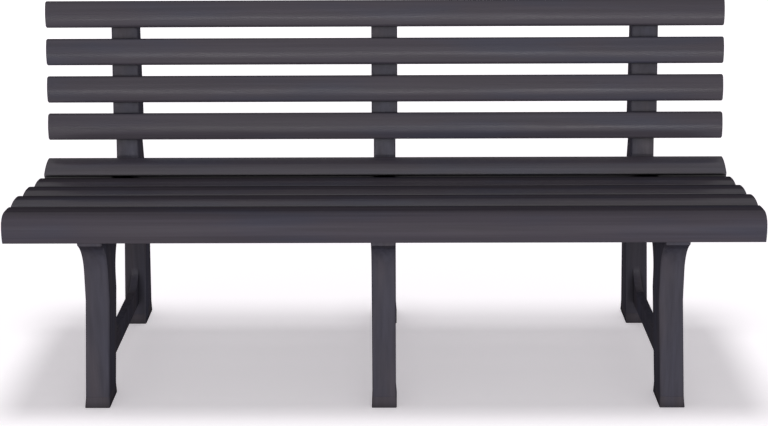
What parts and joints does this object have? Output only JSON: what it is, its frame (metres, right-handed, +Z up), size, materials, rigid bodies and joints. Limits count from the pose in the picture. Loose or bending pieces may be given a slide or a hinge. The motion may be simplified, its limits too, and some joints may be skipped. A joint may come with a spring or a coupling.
{
  "type": "slatted garden bench",
  "caption": "Free-standing garden bench of moulded plastic: a crowned slatted seat with a rolled front edge and a reclined slatted back, carried by hollow leg frames.",
  "frame": {"origin": "on the floor, under the middle of the bench's length and depth", "axes": "+X along the bench, +Y from the seat's front edge to the back, +Z up"},
  "size_m": [1.455, 0.5196, 0.74],
  "materials": {
    "slat_plastic": "satin moulded polypropylene, anthracite",
    "frame_plastic": "satin moulded polypropylene, anthracite",
    "foot_plastic": "matt moulded polypropylene, anthracite",
    "screw_steel": "zinc-plated steel"
  },
  "bodies": {
    "root": {"seat_slat_front": "slat_plastic", "seat_slat_2": "slat_plastic", "seat_slat_3": "slat_plastic", "seat_slat_4": "slat_plastic", "seat_slat_rear": "slat_plastic", "back_slat_1": "slat_plastic", "back_slat_2": "slat_plastic", "back_slat_3": "slat_plastic", "back_slat_4": "slat_plastic", "leg_frame_left": "frame_plastic", "leg_frame_centre": "frame_plastic", "leg_frame_right": "frame_plastic", "back_post_left": "frame_plastic", "back_post_centre": "frame_plastic", "back_post_right": "frame_plastic", "foot_cap_front_left": "foot_plastic", "foot_cap_front_centre": "foot_plastic", "foot_cap_front_right": "foot_plastic", "foot_cap_rear_left": "foot_plastic", "foot_cap_rear_centre": "foot_plastic", "foot_cap_rear_right": "foot_plastic", "post_screws": "screw_steel"}
  },
  "joints": []
}
